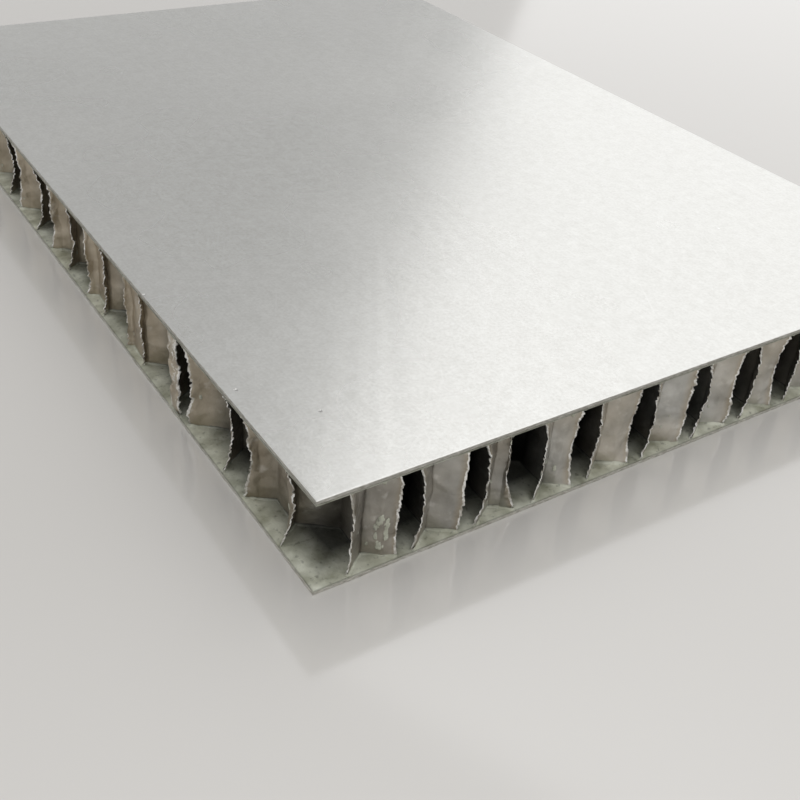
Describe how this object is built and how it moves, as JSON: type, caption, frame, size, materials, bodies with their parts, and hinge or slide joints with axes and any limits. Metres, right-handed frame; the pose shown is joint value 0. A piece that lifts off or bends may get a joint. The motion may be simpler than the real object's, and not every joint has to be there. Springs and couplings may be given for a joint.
{
  "type": "honeycomb sandwich panel",
  "caption": "Stiff, light wall panel: thin metal face sheets glued over a honeycomb core of folded foil, sawn to a sample with open cells along its edges.",
  "frame": {"origin": "centre of the back sheet's outer face, which the panel lies on", "axes": "+Z out of the front sheet, +Y along the foil strips and the panel's long side, +X across the strips"},
  "size_m": [0.21, 0.297, 0.025],
  "materials": {
    "face_sheet": "satin, fine mottled grain",
    "core_foil": "dull rolled foil, dented, with ragged sawn edges",
    "adhesive": "matt greenish grey glue film"
  },
  "bodies": {
    "root": {"back_sheet": "face_sheet", "back_glue_film": "adhesive", "foil_scrap_left_01": "core_foil", "foil_scrap_left_02": "core_foil", "foil_scrap_left_03": "core_foil", "foil_scrap_left_04": "core_foil", "foil_scrap_left_05": "core_foil", "foil_scrap_left_06": "core_foil", "foil_scrap_left_07": "core_foil", "foil_scrap_left_08": "core_foil", "foil_scrap_left_09": "core_foil", "foil_scrap_left_10": "core_foil", "foil_scrap_left_11": "core_foil", "foil_scrap_right_01": "core_foil", "foil_scrap_right_02": "core_foil", "foil_scrap_right_03": "core_foil", "foil_scrap_right_04": "core_foil", "foil_scrap_right_05": "core_foil", "foil_scrap_right_06": "core_foil", "foil_scrap_right_07": "core_foil", "foil_scrap_right_08": "core_foil", "foil_scrap_right_09": "core_foil", "foil_scrap_right_10": "core_foil", "foil_scrap_right_11": "core_foil", "foil_strip_01": "core_foil", "foil_strip_02": "core_foil", "foil_strip_03": "core_foil", "foil_strip_04": "core_foil", "foil_strip_05": "core_foil", "foil_strip_06": "core_foil", "foil_strip_07": "core_foil", "foil_strip_08": "core_foil", "foil_strip_09": "core_foil", "foil_strip_10": "core_foil", "foil_strip_11": "core_foil", "foil_strip_12": "core_foil", "foil_strip_13": "core_foil", "foil_strip_14": "core_foil", "foil_strip_15": "core_foil", "foil_strip_16": "core_foil", "foil_strip_17": "core_foil", "foil_strip_18": "core_foil", "foil_strip_19": "core_foil", "foil_strip_20": "core_foil", "foil_strip_21": "core_foil", "foil_strip_22": "core_foil", "front_glue_film": "adhesive", "front_sheet": "face_sheet"}
  },
  "joints": []
}
